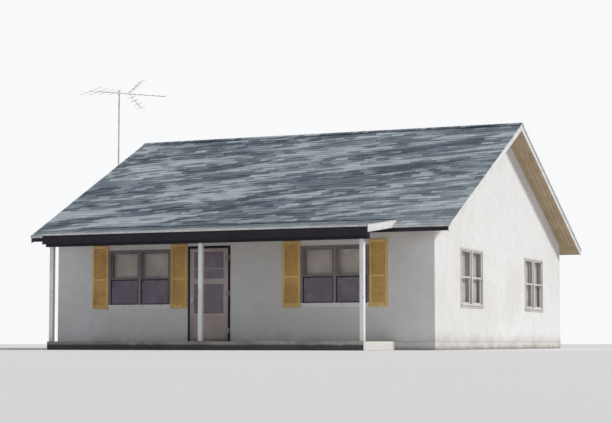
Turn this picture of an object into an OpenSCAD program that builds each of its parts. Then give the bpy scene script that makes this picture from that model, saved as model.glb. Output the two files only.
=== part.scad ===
// Single-storey farmhouse with rendered adobe walls, a gable roof, a front
// porch on three posts, twin sash windows with shutters, a glazed storm door
// and an aerial on a mast. The front faces -Y, and the ground is at Z = 0.

/* [House body] */
// Width of the front between the outer faces of the gable walls
house_w = 9000; // [8200:50:12000]
// Depth between the outer faces of the front and back walls
house_d = 9600; // [8400:50:12000]
// Thickness of the outer walls
wall_t = 300; // [200:10:450]
// Height of the floor above the ground
floor_h = 180; // [120:10:240]
// Underside of the ceiling above the ground
ceiling_z = 2450; // [2300:10:2500]
// Thickness of the ceiling
ceiling_t = 40; // [20:5:80]

/* [Roof] */
// Top of the roof at its lower edge, above the ground
eave_top = 2530; // [2480:10:2800]
// Slope of the main roof in degrees
roof_pitch = 27; // [22:1:35]
// Thickness of rafters and decking, square to the slope
roof_t = 100; // [80:5:140]
// Reach of the roof beyond the front and back walls
eave_reach = 420; // [300:10:600]
// Reach of the roof beyond the gable walls
rake_reach = 455; // [300:5:600]
// Thickness of the boards along the roof's edges
board_t = 22; // [16:1:35]
// Height of the boards along the eaves
fascia_h = 120; // [112:2:160]
// Upright height of the boards along the gables
rake_board_h = 150; // [130:5:220]
// Thickness of the linings under the overhangs
soffit_t = 12; // [8:1:20]
// Reach of the ridge cap down each slope
ridge_cap_w = 150; // [100:10:220]
// Upright thickness of the ridge cap
ridge_cap_t = 14; // [8:1:25]
// Clearance between sloping faces that bear on each other
bed_gap = 0.3; // [0.1:0.1:0.8]

/* [Porch] */
// Width of the porch slab
porch_w = 7280; // [6900:20:8000]
// Depth of the porch slab from the front wall
porch_d = 1780; // [1400:10:2200]
// Width of the porch roof over its end boards
porch_roof_w = 7500; // [7400:20:8600]
// Reach of the porch roof beyond the slab's front edge
porch_roof_reach = 60; // [20:10:200]
// Top of the porch roof at its front edge, above the ground
porch_eave_top = 2470; // [2440:10:2500]
// Slope of the porch roof in degrees
porch_pitch = 7; // [5:0.5:9]
// Upright thickness of the porch roof
porch_roof_t = 130; // [110:5:135]
// Height of the board along the porch's front
porch_fascia_h = 220; // [180:5:240]
// Upright height of the boards at the porch roof's ends
porch_end_h = 150; // [145:5:180]
// Underside of the beam on the posts, above the ground
beam_bottom = 2200; // [2100:10:2250]
// Width of the square posts and of the beam on them
post_w = 90; // [70:5:140]
// Distance from the slab's front edge to the posts
post_inset = 50; // [20:5:120]
// Distance from the slab's ends to the outer posts
post_end_inset = 15; // [5:5:100]

/* [Door] */
// Centre of the doorway, right of the middle of the front
door_x = -670; // [-690:5:-560]
// Width of the doorway in the wall
doorway_w = 1020; // [940:10:1050]
// Height of the doorway above the floor
doorway_h = 2060; // [1990:10:2100]
// Width of the door frame's members
door_frame_w = 45; // [40:1:60]
// Depth of the door frame and of the threshold
door_frame_d = 110; // [90:5:150]
// How far the door and its frame stand out from the wall
door_proud = 20; // [10:1:40]
// Thickness of the door
door_t = 32; // [25:1:45]
// Gap at the hinged edge, at the head and behind the door
door_gap = 5; // [5:0.5:8]
// Gap at the latch edge
latch_gap = 7; // [6.5:0.5:10]
// Gap between the threshold and the door
sill_gap = 8; // [6:1:12]
// Reach of the stop behind the door
stop_w = 12; // [8:1:20]
// Height of the threshold above the floor
threshold_h = 25; // [15:1:40]
// Width of the door's stiles
stile_w = 105; // [80:5:130]
// Top of the upper glass, above the ground
upper_glass_top = 2115; // [2000:5:2130]
// Centre of the thin bar across the upper glass, above the ground
glass_bar_z = 1750; // [1650:10:1900]
// Height of that bar
glass_bar_h = 18; // [12:1:30]
// Bottom of the upper glass, above the ground
upper_glass_bottom = 1535; // [1500:5:1600]
// Top of the lower glass, above the ground
lower_glass_top = 1420; // [1300:5:1450]
// Bottom of the lower glass, above the ground
lower_glass_bottom = 780; // [600:10:900]
// Margin of the sunk kick panel
kick_margin = 70; // [50:5:90]
// Depth to which the kick panel is sunk
kick_sink = 6; // [3:1:10]
// Thickness of the door's glass
door_glass_t = 5; // [3:1:8]
// Radius of the hinge knuckles
knuckle_r = 8; // [7:0.5:9]
// Radius of the hinge pins
pin_r = 4; // [3:0.5:5]
// Distance of the pins in front of the door's face
pin_out = 10; // [9.5:0.5:14]
// Height of each hinge
hinge_h = 100; // [70:5:130]
// Width of each hinge plate
hinge_plate_w = 28; // [15:1:35]
// Thickness of the hinge plates
hinge_plate_t = 3; // [2:0.5:4]
// Centre of the handle, above the ground
handle_z = 1120; // [1000:10:1200]
// Length of the handle's plate
handle_h = 170; // [120:5:240]
// Reach of the handle in front of the door
handle_reach = 48; // [35:1:70]

/* [Windows] */
// Width of each window opening
window_w = 1555; // [1300:5:1560]
// Head of the window openings, above the ground
window_head = 2190; // [2100:5:2240]
// Top of the window sills, above the ground
sill_top = 985; // [850:5:1100]
// Height of the window sills
sill_h = 90; // [50:5:120]
// How far the sill's nose stands out from the wall
sill_nose = 45; // [30:1:80]
// Height of the sill's nose
sill_nose_h = 40; // [25:1:50]
// Gap between the doorway and the shutter left of it
shutter_door_gap = 22.5; // [10:0.5:120]
// Centre of the right front window, right of the middle of the front
right_window_x = 2280; // [2000:10:2700]
// Distance of the gable and back windows from the middle of their wall
side_window_x = 2400; // [1600:10:2700]
// Width of the window frames' members
window_frame_w = 45; // [35:1:60]
// Width of the post between the two lights of a window
mullion_w = 60; // [50:2:90]
// Depth of the window frames
window_frame_d = 110; // [95:5:150]
// How far the window frames stand out from the wall
window_proud = 15; // [12:1:30]
// Centre of the meeting rails, above the ground
meeting_z = 1560; // [1500:10:1650]
// Width of the sashes' members
sash_w = 38; // [28:1:50]
// Thickness of each sash
sash_t = 25; // [20:1:30]
// Distance from the wall's face to the upper sashes
sash_in = 12; // [5:1:20]
// Gap between the upper and the lower sashes
sash_gap = 2; // [1:0.5:4]
// Thickness of the window glass
glass_t = 4; // [3:0.5:6]
// Width of the insect screens' frames
screen_frame_w = 18; // [12:1:30]
// Thickness of the insect screens' frames
screen_t = 10; // [6:1:12]
// Thickness of the insect screens' mesh
mesh_t = 2; // [1:0.5:3]

/* [Shutters] */
// Width of each shutter
shutter_w = 400; // [250:5:405]
// Bottom of the shutters, above the ground
shutter_bottom = 900; // [800:5:950]
// Height of the shutters
shutter_h = 1400; // [1300:10:1500]
// Thickness of the shutters
shutter_t = 30; // [20:1:45]
// Gap between a shutter and its window
shutter_gap = 10; // [4:1:14]

/* [Aerial] */
// Distance of the mast behind the front wall's face
mast_back = 3550; // [1500:50:4600]
// Distance from the gable boards to the mast's centre
mast_out = 63; // [45:1:120]
// Outer radius of the mast
mast_r = 17.5; // [12:0.5:25]
// Top of the mast, above the ground
mast_top = 6400; // [6000:50:7000]
// Width of the mast's foot plate
foot_w = 160; // [100:10:260]
// Thickness of the mast's foot plate
foot_t = 10; // [6:1:20]
// Outer radius of the bracket's ring
ring_r = 28; // [24:1:40]
// Clearance of the bracket's ring around the mast
ring_gap = 0.3; // [0.2:0.1:0.8]
// Height of the bracket
bracket_h = 45; // [30:5:80]
// Thickness of the bracket's plate
bracket_t = 6; // [4:1:10]
// Centre of the boom below the mast's top
boom_drop = 70; // [50:5:200]
// Turn of the boom from the line of the front, in degrees
boom_turn = 51; // [0:1:90]
// Length of the boom behind the mast
boom_back = 766; // [600:10:1200]
// Length of the boom in front of the mast
boom_front = 1226; // [1000:10:1500]
// Width of the square boom
boom_w = 22; // [16:1:30]
// Distance from the mast to the corner reflector
reflector_at = 252; // [200:5:400]
// Length of each arm of the corner reflector
reflector_arm = 480; // [300:10:600]
// Length of the corner reflector's rods
reflector_rod = 560; // [400:10:800]
// Number of rods on each reflector arm
reflector_rods = 4; // [3:1:6]
// Diameter of the aerial's rods
rod_d = 10; // [8:1:14]
// Number of short rods in front of the reflector
short_rods = 6; // [4:1:8]
// Length of the short rods
short_rod = 210; // [150:10:300]
// Lengths of the long rods, from the back end forwards
long_rods = [1500, 1260, 1060, 900];
// Distance between the long rods
long_rod_step = 205; // [150:5:250]

/* [Hidden] */
$fn = 32;

white_render = [0.86, 0.86, 0.84];
shingle_grey = [0.47, 0.54, 0.58];
navy_trim = [0.16, 0.19, 0.25];
pale_trim = [0.82, 0.83, 0.80];
tan_board = [0.62, 0.58, 0.48];
concrete = [0.70, 0.69, 0.66];
grey_tan = [0.60, 0.56, 0.53];
dark_glass = [0.22, 0.24, 0.28];
ochre = [0.80, 0.62, 0.28];
pale_metal = [0.75, 0.76, 0.77];
over = 10;

half_w = house_w / 2;
half_d = house_d / 2;
slope = tan(roof_pitch);
roof_v = roof_t / cos(roof_pitch);
roof_half_w = half_w + rake_reach;
roof_half_d = half_d + eave_reach;

// Heights of the main roof at a distance s behind the front wall's face
function roof_top(s) = eave_top + slope * (s + eave_reach);
function roof_under(s) = roof_top(s) - roof_v;
function wall_top(s) = roof_under(s) - bed_gap;

// A band that follows both slopes between two half widths
function both_slopes(reach, top, bottom) = [
    [-reach, roof_top(half_d - reach) + top],
    [0, roof_top(half_d) + top],
    [reach, roof_top(half_d - reach) + top],
    [reach, roof_top(half_d - reach) + bottom],
    [0, roof_top(half_d) + bottom],
    [-reach, roof_top(half_d - reach) + bottom]
];

// Porch heights and places, measured from the front wall's face
porch_front = -(porch_d + porch_roof_reach);
porch_slope = tan(porch_pitch);
function porch_top(s) = porch_eave_top + porch_slope * (s - porch_front);
porch_meets_roof =
    (porch_top(0) - roof_top(0) - bed_gap) / (slope - porch_slope);
post_front = -porch_d + post_inset;
post_x = porch_w / 2 - post_end_inset - post_w / 2;

doorway_left = door_x - doorway_w / 2;
doorway_right = door_x + doorway_w / 2;
doorway_head = floor_h + doorway_h;
clear_left = doorway_left + door_frame_w;
clear_right = doorway_right - door_frame_w;
clear_head = doorway_head - door_frame_w;
door_left = clear_left + latch_gap;
door_right = clear_right - door_gap;
door_bottom = floor_h + threshold_h + sill_gap;
door_top = clear_head - door_gap;
pin_x = clear_right - door_gap / 2;
pin_y = -door_proud - pin_out;
hinge_zs = [door_bottom + 2 * hinge_h, (door_bottom + door_top) / 2,
            door_top - 2 * hinge_h];
knuckle_gap = 1;
pin_play = 0.6;
door_panes = [
    [lower_glass_bottom, lower_glass_top],
    [upper_glass_bottom, glass_bar_z - glass_bar_h / 2],
    [glass_bar_z + glass_bar_h / 2, upper_glass_top]
];

left_window_x = shutter_door_gap + shutter_w + shutter_gap + window_w / 2
    - doorway_left;
window_bottom = sill_top - sill_h;
light_w = (window_w - 2 * window_frame_w - mullion_w) / 2;
light_x = (light_w + mullion_w) / 2;
light_head = window_head - window_frame_w;
lower_sash_in = sash_in + sash_t + sash_gap;

mast_x = -roof_half_w - mast_out;
mast_y = mast_back - half_d;
boom_z = mast_top - boom_drop;

// Extrudes a profile of (Y, Z) points along X
module along_x(x0, x1) {
    translate([x0, 0, 0]) rotate([90, 0, 90]) linear_extrude(x1 - x0) children();
}

// Extrudes a profile of (X, Z) points along Y
module along_y(y0, y1) {
    translate([0, y1, 0]) rotate([90, 0, 0]) linear_extrude(y1 - y0) children();
}

module block(x0, x1, y0, y1, z0, z1) {
    translate([x0, y0, z0]) cube([x1 - x0, y1 - y0, z1 - z0]);
}

// Places on each outer wall: X runs along the wall, Y runs inwards from its face
module on_front() { translate([0, -half_d, 0]) children(); }
module on_back() { translate([0, half_d, 0]) rotate([0, 0, 180]) children(); }
module on_left() { translate([-half_w, 0, 0]) rotate([0, 0, -90]) children(); }
module on_right() { translate([half_w, 0, 0]) rotate([0, 0, 90]) children(); }
module side_pair() {
    for (side = [-1, 1]) translate([side * side_window_x, 0, 0]) children();
}
module left_place() { translate([-left_window_x, 0, 0]) children(); }
module right_place() { translate([right_window_x, 0, 0]) children(); }

// A stretch of a front or back wall, up to the underside of the roof
module eave_wall(x0, x1, z0) {
    along_x(x0, x1) polygon([
        [0, z0], [wall_t, z0], [wall_t, wall_top(wall_t)], [0, wall_top(0)]
    ]);
}

module window_hole() {
    block(-window_w / 2, window_w / 2, -over, wall_t + over, window_bottom, window_head);
}

module floor_slab() {
    color(concrete) block(-half_w, half_w, -half_d, half_d, 0, floor_h);
}

module porch_slab() {
    color(concrete) on_front() block(-porch_w / 2, porch_w / 2, -porch_d, 0, 0, floor_h);
}

module front_wall_left() {
    color(white_render) on_front() difference() {
        eave_wall(-half_w, doorway_left, floor_h);
        left_place() window_hole();
    }
}

module front_wall_right() {
    color(white_render) on_front() difference() {
        eave_wall(doorway_right, half_w, floor_h);
        right_place() window_hole();
    }
}

module front_wall_over_door() {
    color(white_render) on_front() eave_wall(doorway_left, doorway_right, doorway_head);
}

// A gable wall between the front and back walls, up to the underside of the roof
module gable_wall() {
    reach = half_d - wall_t;
    difference() {
        along_y(0, wall_t) polygon([
            [-reach, floor_h], [reach, floor_h], [reach, wall_top(wall_t)],
            [0, wall_top(half_d)], [-reach, wall_top(wall_t)]
        ]);
        side_pair() window_hole();
    }
}

module left_gable_wall() { color(white_render) on_left() gable_wall(); }

module right_gable_wall() { color(white_render) on_right() gable_wall(); }

module back_wall() {
    color(white_render) on_back() difference() {
        eave_wall(-half_w, half_w, floor_h);
        side_pair() window_hole();
    }
}

module ceiling() {
    color(white_render) block(-half_w + wall_t, half_w - wall_t,
        -half_d + wall_t, half_d - wall_t, ceiling_z, ceiling_z + ceiling_t);
}

// One slope of the main roof, from inside its fascia to the ridge
module roof_slope() {
    reach = roof_half_d - board_t;
    low = roof_top(half_d - reach);
    along_x(-roof_half_w + board_t, roof_half_w - board_t) polygon([
        [-reach, low - roof_v], [0, roof_under(half_d)],
        [0, roof_top(half_d)], [-reach, low]
    ]);
}

module front_roof() { color(shingle_grey) roof_slope(); }

module back_roof() { color(shingle_grey) rotate([0, 0, 180]) roof_slope(); }

module ridge_cap() {
    color(shingle_grey) along_x(-roof_half_w, roof_half_w)
        polygon(both_slopes(ridge_cap_w, bed_gap + ridge_cap_t, bed_gap));
}

// The board along one eave, with its top cut to the slope
module eave_board() {
    inner = roof_half_d - board_t;
    along_x(-roof_half_w + board_t, roof_half_w - board_t) polygon([
        [-roof_half_d, eave_top - fascia_h], [-inner, eave_top - fascia_h],
        [-inner, roof_top(half_d - inner)], [-roof_half_d, eave_top]
    ]);
}

module front_fascia() { color(navy_trim) eave_board(); }

module back_fascia() { color(navy_trim) rotate([0, 0, 180]) eave_board(); }

// The pair of boards along one gable, joined at the ridge
module rake_boards() {
    along_x(roof_half_w - board_t, roof_half_w)
        polygon(both_slopes(roof_half_d, 0, -rake_board_h));
}

module left_rake_boards() { color(pale_trim) mirror([1, 0, 0]) rake_boards(); }

module right_rake_boards() { color(pale_trim) rake_boards(); }

// The linings under the front and back overhangs
module eave_soffits() {
    outer = roof_half_d - board_t;
    low = wall_top(half_d - outer);
    color(tan_board) for (turn = [0, 180]) rotate([0, 0, turn])
        along_x(-roof_half_w + board_t, roof_half_w - board_t) polygon([
            [-outer, low - soffit_t], [-half_d, wall_top(0) - soffit_t],
            [-half_d, wall_top(0)], [-outer, low]
        ]);
}

// The linings under the overhangs of the two gables
module rake_soffits() {
    color(tan_board) for (side = [0, 1]) mirror([side, 0, 0])
        along_x(half_w, roof_half_w - board_t)
            polygon(both_slopes(half_d, -roof_v - bed_gap,
                -roof_v - bed_gap - soffit_t));
}

// The porch roof's outline in (Y, Z): it lands on the main roof and its fascia
module porch_profile(thick) {
    back = -eave_reach - bed_gap;
    front = porch_front + board_t;
    polygon([
        [front, porch_top(front)],
        [porch_meets_roof, porch_top(porch_meets_roof)],
        [back, roof_top(back) + bed_gap], [back, porch_top(back) - thick],
        [front, porch_top(front) - thick]
    ]);
}

porch_in = porch_roof_w / 2 - board_t;

module porch_roof() {
    color(shingle_grey) on_front() along_x(-porch_in, porch_in)
        porch_profile(porch_roof_t);
}

module porch_fascia() {
    inner = porch_front + board_t;
    bottom = porch_eave_top - porch_fascia_h;
    color(navy_trim) on_front() along_x(-porch_roof_w / 2, porch_roof_w / 2)
        polygon([
            [porch_front, bottom], [inner, bottom],
            [inner, porch_top(inner)], [porch_front, porch_eave_top]
        ]);
}

module porch_end_boards() {
    color(pale_trim) on_front() for (side = [0, 1]) mirror([side, 0, 0])
        along_x(porch_in, porch_roof_w / 2) porch_profile(porch_end_h);
}

function lining_top(s) = porch_top(s) - porch_roof_t - bed_gap;

module porch_ceiling() {
    front = porch_front + board_t;
    color(tan_board) on_front() along_x(-porch_in, porch_in) polygon([
        [front, lining_top(front) - soffit_t],
        [-eave_reach, lining_top(-eave_reach) - soffit_t],
        [-eave_reach, lining_top(-eave_reach)], [front, lining_top(front)]
    ]);
}

module porch_beam() {
    back = post_front + post_w;
    color(pale_trim) on_front() along_x(-porch_in, porch_in) polygon([
        [post_front, beam_bottom], [back, beam_bottom],
        [back, lining_top(back) - soffit_t - bed_gap],
        [post_front, lining_top(post_front) - soffit_t - bed_gap]
    ]);
}

module porch_post(x) {
    color(pale_trim) on_front() block(x - post_w / 2, x + post_w / 2,
        post_front, post_front + post_w, floor_h, beam_bottom);
}

module left_porch_post() { porch_post(-post_x); }

module middle_porch_post() { porch_post(0); }

module right_porch_post() { porch_post(post_x); }

module door_frame() {
    inner = door_frame_d - door_proud;
    stop_y = -door_proud + door_t + door_gap;
    color(grey_tan) on_front() difference() {
        block(doorway_left, doorway_right, -door_proud, inner, floor_h, doorway_head);
        block(clear_left, clear_right, -door_proud - over, stop_y,
            floor_h - over, clear_head);
        block(clear_left + stop_w, clear_right - stop_w, -over, inner + over,
            floor_h - over, clear_head - stop_w);
        block(clear_left, clear_right, -door_proud - over, inner + over,
            floor_h - over, floor_h + threshold_h);
    }
}

module door_threshold() {
    color(concrete) on_front() block(clear_left, clear_right, -door_proud,
        door_frame_d - door_proud, floor_h, floor_h + threshold_h);
}

module storm_door() {
    back = -door_proud + door_t;
    color(grey_tan) on_front() difference() {
        block(door_left, door_right, -door_proud, back, door_bottom, door_top);
        for (pane = door_panes) block(door_left + stile_w, door_right - stile_w,
            -door_proud - over, back + over, pane[0], pane[1]);
        block(door_left + stile_w, door_right - stile_w,
            -door_proud - over, -door_proud + kick_sink,
            door_bottom + kick_margin, lower_glass_bottom - kick_margin);
    }
}

module storm_door_glass() {
    middle = -door_proud + door_t / 2;
    color(dark_glass) on_front() for (pane = door_panes)
        block(door_left + stile_w, door_right - stile_w,
            middle - door_glass_t / 2, middle + door_glass_t / 2, pane[0], pane[1]);
}

module door_handle() {
    x = door_left + stile_w / 2;
    plate_w = stile_w / 3;
    grip_r = 8;
    plate_t = 4;
    grip_y = -door_proud - handle_reach + grip_r;
    color(pale_metal) on_front() {
        block(x - plate_w / 2, x + plate_w / 2, -door_proud - plate_t, -door_proud,
            handle_z - handle_h / 2, handle_z + handle_h / 2);
        translate([x, grip_y, handle_z - handle_h / 2 + grip_r])
            cylinder(h = handle_h - 2 * grip_r, r = grip_r);
        for (end = [-1, 1])
            translate([x, -door_proud, handle_z + end * (handle_h / 2 - 3 * grip_r)])
                rotate([90, 0, 0]) cylinder(h = handle_reach - grip_r, r = grip_r * 0.75);
    }
}

// One hinge plate with its necks, on the side of the pin that dir gives
module hinge_plate(dir, necks) {
    knuckle_clear = knuckle_r + 2;
    plate_y = pin_out - hinge_plate_t;
    mirror([dir < 0 ? 1 : 0, 0, 0]) {
        block(knuckle_clear, knuckle_clear + hinge_plate_w, plate_y, pin_out,
            -hinge_h / 2, hinge_h / 2);
        for (neck = necks)
            block(0, knuckle_clear + over, plate_y, pin_out, neck[0], neck[1]);
        for (neck = necks) block(0, pin_r + 2, 0, pin_out, neck[0], neck[1]);
    }
}

knuckle_half = hinge_h / 6;

// The fixed halves: two knuckles, the pin and the plate on the frame
module door_hinge_pins() {
    ends = [[-hinge_h / 2, -knuckle_half - knuckle_gap],
            [knuckle_half + knuckle_gap, hinge_h / 2]];
    color(pale_metal) on_front() for (z = hinge_zs) translate([pin_x, pin_y, z]) {
        translate([0, 0, -hinge_h / 2]) cylinder(h = hinge_h, r = pin_r);
        for (e = ends) translate([0, 0, e[0]]) cylinder(h = e[1] - e[0], r = knuckle_r);
        hinge_plate(1, ends);
    }
}

// The moving halves: one knuckle around the pin and the plate on the door
module door_hinge_sleeves() {
    color(pale_metal) on_front() for (z = hinge_zs) translate([pin_x, pin_y, z])
        difference() {
            union() {
                translate([0, 0, -knuckle_half])
                    cylinder(h = 2 * knuckle_half, r = knuckle_r);
                hinge_plate(-1, [[-knuckle_half, knuckle_half]]);
            }
            translate([0, 0, -hinge_h])
                cylinder(h = 2 * hinge_h, r = pin_r + pin_play);
        }
}

// A window frame with its sill and the post between its two lights
module window_frame() {
    inner = window_frame_d - window_proud;
    difference() {
        block(-window_w / 2, window_w / 2, -window_proud, inner,
            window_bottom, window_head);
        for (side = [-1, 1]) translate([side * light_x, 0, 0])
            block(-light_w / 2, light_w / 2, -window_proud - over, inner + over,
                sill_top, light_head);
    }
    block(-window_w / 2, window_w / 2, -sill_nose, 0, sill_top - sill_nose_h, sill_top);
}

// One sash of a light, from z0 to z1, its face set back from the wall's face
module sash(set_back, z0, z1) {
    difference() {
        block(-light_w / 2, light_w / 2, set_back, set_back + sash_t, z0, z1);
        block(-light_w / 2 + sash_w, light_w / 2 - sash_w, set_back - over,
            set_back + sash_t + over, z0 + sash_w, z1 - sash_w);
    }
}

module sash_glass(set_back, z0, z1) {
    middle = set_back + sash_t / 2;
    block(-light_w / 2 + sash_w, light_w / 2 - sash_w, middle - glass_t / 2,
        middle + glass_t / 2, z0 + sash_w, z1 - sash_w);
}

module both_lights() {
    for (side = [-1, 1]) translate([side * light_x, 0, 0]) children();
}

module window_sashes() {
    both_lights() {
        sash(sash_in, meeting_z - sash_w / 2, light_head);
        sash(lower_sash_in, sill_top, meeting_z + sash_w / 2);
    }
}

module window_glass() {
    both_lights() {
        sash_glass(sash_in, meeting_z - sash_w / 2, light_head);
        sash_glass(lower_sash_in, sill_top, meeting_z + sash_w / 2);
    }
}

// The half screens outside the lower sashes
module window_screens() {
    front = sash_in - screen_t;
    top = meeting_z - sash_w / 2;
    middle = front + screen_t / 2;
    both_lights() {
        difference() {
            block(-light_w / 2, light_w / 2, front, sash_in, sill_top, top);
            block(-light_w / 2 + screen_frame_w, light_w / 2 - screen_frame_w,
                front - over, sash_in + over,
                sill_top + screen_frame_w, top - screen_frame_w);
        }
        block(-light_w / 2 + screen_frame_w / 2, light_w / 2 - screen_frame_w / 2,
            middle - mesh_t / 2, middle + mesh_t / 2,
            sill_top + screen_frame_w / 2, top - screen_frame_w / 2);
    }
}

module left_window_frame() { color(pale_trim) on_front() left_place() window_frame(); }

module right_window_frame() { color(pale_trim) on_front() right_place() window_frame(); }

module left_window_sashes() { color(grey_tan) on_front() left_place() window_sashes(); }

module right_window_sashes() { color(grey_tan) on_front() right_place() window_sashes(); }

module front_window_glass() {
    color(dark_glass) on_front() {
        left_place() window_glass();
        right_place() window_glass();
    }
}

module front_window_screens() {
    color(navy_trim) on_front() {
        left_place() window_screens();
        right_place() window_screens();
    }
}

module side_windows() {
    side_pair() {
        window_frame();
        window_sashes();
    }
}

module left_gable_windows() { color(pale_trim) on_left() side_windows(); }

module right_gable_windows() { color(pale_trim) on_right() side_windows(); }

module back_windows() { color(pale_trim) on_back() side_windows(); }

module side_window_glass() {
    color(dark_glass) {
        on_left() side_pair() window_glass();
        on_right() side_pair() window_glass();
        on_back() side_pair() window_glass();
    }
}

// The shutters on both sides of a front window, flat on the wall
module shutter_pair() {
    inner = window_w / 2 + shutter_gap;
    for (side = [0, 1]) mirror([side, 0, 0])
        block(inner, inner + shutter_w, -shutter_t, 0,
            shutter_bottom, shutter_bottom + shutter_h);
}

module left_window_shutters() { color(ochre) on_front() left_place() shutter_pair(); }

module right_window_shutters() { color(ochre) on_front() right_place() shutter_pair(); }

module antenna_mast() {
    color(pale_metal) translate([mast_x, mast_y, 0]) {
        cylinder(h = mast_top, r = mast_r);
        translate([-foot_w / 2, -foot_w / 2, 0]) cube([foot_w, foot_w, foot_t]);
    }
}

// The bracket on the gable board: plate, arm and a ring around the mast
module mast_bracket() {
    plate_l = 2 * bracket_h;
    arm_w = ring_r;
    mid_z = roof_top(mast_back) - rake_board_h / 2;
    color(pale_metal) translate([mast_x, mast_y, mid_z]) difference() {
        union() {
            translate([0, 0, -bracket_h / 2]) cylinder(h = bracket_h, r = ring_r);
            block(0, mast_out, -arm_w / 2, arm_w / 2, -bracket_h / 2, bracket_h / 2);
            translate([mast_out - bracket_t, 0, 0]) rotate([roof_pitch, 0, 0])
                block(0, bracket_t, -plate_l, plate_l, -bracket_h / 2, bracket_h / 2);
        }
        translate([0, 0, -bracket_h]) cylinder(h = 2 * bracket_h, r = mast_r + ring_gap);
    }
}

// A rod across the boom at a distance along it and a height above its centre
module rod(at, up, length) {
    translate([at, -length / 2, up]) rotate([-90, 0, 0])
        cylinder(h = length, d = rod_d, $fn = 16);
}

module antenna() {
    clamp_h = 60;
    clamp_w = 2 * (mast_r + over);
    tilt = 45;
    arm_w = 1.6 * rod_d;
    rod_pitch = (reflector_arm - arm_w) / reflector_rods;
    color(pale_metal) translate([mast_x, mast_y, boom_z]) rotate([0, 0, boom_turn])
        difference() {
            union() {
                block(-boom_back, boom_front, -boom_w / 2, boom_w / 2,
                    -boom_w / 2, boom_w / 2);
                block(-clamp_w / 2, clamp_w / 2, -clamp_w / 2, clamp_w / 2,
                    -clamp_h / 2, clamp_h / 2);
                for (i = [0 : len(long_rods) - 1])
                    rod(-boom_back + boom_w + i * long_rod_step, 0, long_rods[i]);
                for (side = [-1, 1]) {
                    translate([reflector_at, 0, 0]) rotate([0, -side * tilt, 0])
                        block(0, reflector_arm, -arm_w / 2, arm_w / 2,
                            -arm_w / 2, arm_w / 2);
                    for (i = [1 : reflector_rods])
                        rod(reflector_at + i * rod_pitch * cos(tilt),
                            side * i * rod_pitch * sin(tilt), reflector_rod);
                }
                for (i = [1 : short_rods])
                    rod(reflector_at + i * (boom_front - reflector_at - boom_w)
                        / short_rods, 0, short_rod);
            }
            translate([0, 0, -clamp_h]) cylinder(h = 2 * clamp_h, r = mast_r + ring_gap);
        }
}

floor_slab();
porch_slab();
front_wall_left();
front_wall_right();
front_wall_over_door();
left_gable_wall();
right_gable_wall();
back_wall();
ceiling();
front_roof();
back_roof();
ridge_cap();
front_fascia();
back_fascia();
left_rake_boards();
right_rake_boards();
eave_soffits();
rake_soffits();
porch_roof();
porch_fascia();
porch_end_boards();
porch_ceiling();
porch_beam();
left_porch_post();
middle_porch_post();
right_porch_post();
door_frame();
door_threshold();
storm_door();
storm_door_glass();
door_handle();
door_hinge_pins();
door_hinge_sleeves();
left_window_frame();
left_window_sashes();
right_window_frame();
right_window_sashes();
front_window_glass();
front_window_screens();
left_gable_windows();
right_gable_windows();
back_windows();
side_window_glass();
left_window_shutters();
right_window_shutters();
antenna_mast();
mast_bracket();
antenna();
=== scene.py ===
import math

import bpy
import numpy as np
from mathutils import Matrix, Vector, noise


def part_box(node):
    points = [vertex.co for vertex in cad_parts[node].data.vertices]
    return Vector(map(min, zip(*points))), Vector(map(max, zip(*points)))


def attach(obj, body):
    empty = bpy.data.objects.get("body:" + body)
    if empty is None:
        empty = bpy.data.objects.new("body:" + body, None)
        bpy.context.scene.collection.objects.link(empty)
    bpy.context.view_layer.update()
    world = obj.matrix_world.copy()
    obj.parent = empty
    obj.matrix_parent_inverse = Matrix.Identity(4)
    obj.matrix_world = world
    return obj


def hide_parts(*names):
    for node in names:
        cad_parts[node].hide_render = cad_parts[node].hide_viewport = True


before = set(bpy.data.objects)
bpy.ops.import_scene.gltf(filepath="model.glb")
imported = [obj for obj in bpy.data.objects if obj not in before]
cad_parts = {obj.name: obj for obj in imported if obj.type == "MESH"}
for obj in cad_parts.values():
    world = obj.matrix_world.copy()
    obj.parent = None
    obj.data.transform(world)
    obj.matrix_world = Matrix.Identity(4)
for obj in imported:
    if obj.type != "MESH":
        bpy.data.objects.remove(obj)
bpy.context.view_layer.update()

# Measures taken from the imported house, in metres
HALF_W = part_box("floor_slab")[1].x
HALF_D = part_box("floor_slab")[1].y
EAVE_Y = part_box("front_fascia")[0].y
RIDGE_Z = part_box("front_roof")[1].z
RAKE_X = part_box("right_rake_boards")[1].x
PITCH = math.atan2(RIDGE_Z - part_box("front_fascia")[1].z, -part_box("front_fascia")[1].y)
EAVE_Z = RIDGE_Z + EAVE_Y * math.tan(PITCH)
SLOPE_LEN = -EAVE_Y / math.cos(PITCH)
PORCH_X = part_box("porch_fascia")[1].x
PORCH_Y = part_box("porch_fascia")[0].y
PORCH_PITCH = math.radians(7)
BOARD_T = 0.022
PORCH_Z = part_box("porch_fascia")[1].z - BOARD_T * math.tan(PORCH_PITCH)
LANDING_Y = (
    (PORCH_Z - PORCH_Y * math.tan(PORCH_PITCH) - EAVE_Z + EAVE_Y * math.tan(PITCH))
    / (math.tan(PITCH) - math.tan(PORCH_PITCH))
)

# Shingle sizes, in metres
TAB_W = 0.305
TAB_GAP = 0.008
EXPOSURE = 0.143
LAP = 0.045
SHINGLE_T = 0.005
BUTT_TOP = 0.0122
HEAD_TOP = 0.0053
EDGE_OUT = 0.012
SIDE_SHIFT = 0.021
FIELD_DROP = 0.015
STARTER_DEPTH = 0.17
STARTER_LOW = 0.0012
STARTER_TOP = 0.0062
TAB_COLUMNS = 4
TAB_ROWS = 2
TAB_VERTS = 2 * (TAB_COLUMNS + 1) * (TAB_ROWS + 1)

# How unevenly the tabs lie, in metres
CURL = 0.0035
SWELL = 0.002
TIP = 0.0012
SKEW = 0.0035
SLIP = 0.003
WAVE = 0.003

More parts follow.
